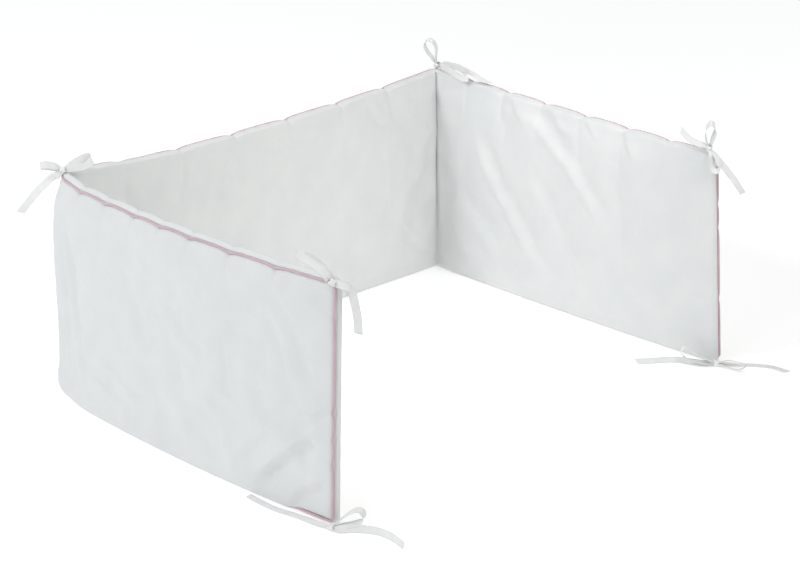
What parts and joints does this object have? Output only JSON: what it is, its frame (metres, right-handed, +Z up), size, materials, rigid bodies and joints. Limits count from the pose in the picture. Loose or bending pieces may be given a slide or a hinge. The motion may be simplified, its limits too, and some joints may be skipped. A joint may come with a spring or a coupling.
{
  "type": "crib bumper",
  "caption": "Padded crib bumper in one long cover, folded into panels that stand in a U, with thin piping along its outer edge and ribbon bows at its corners.",
  "frame": {"origin": "centre of the bounding box, on the floor", "axes": "+X along the middle panel, from the left side panel to the right one as seen from the open side; +Y from the open side to the middle panel; +Z up"},
  "size_m": [0.7974, 0.6896, 0.3426],
  "materials": {
    "cover": "matt woven cotton",
    "piping": "matt bias-cut cotton",
    "ribbon": "soft satin ribbon"
  },
  "bodies": {
    "root": {"cover": "cover", "piping": "piping", "tie_left_end_top": "ribbon", "tie_left_fold_top": "ribbon", "tie_right_fold_top": "ribbon", "tie_right_end_top": "ribbon", "tie_left_end_floor": "ribbon", "tie_right_end_floor": "ribbon"}
  },
  "joints": []
}
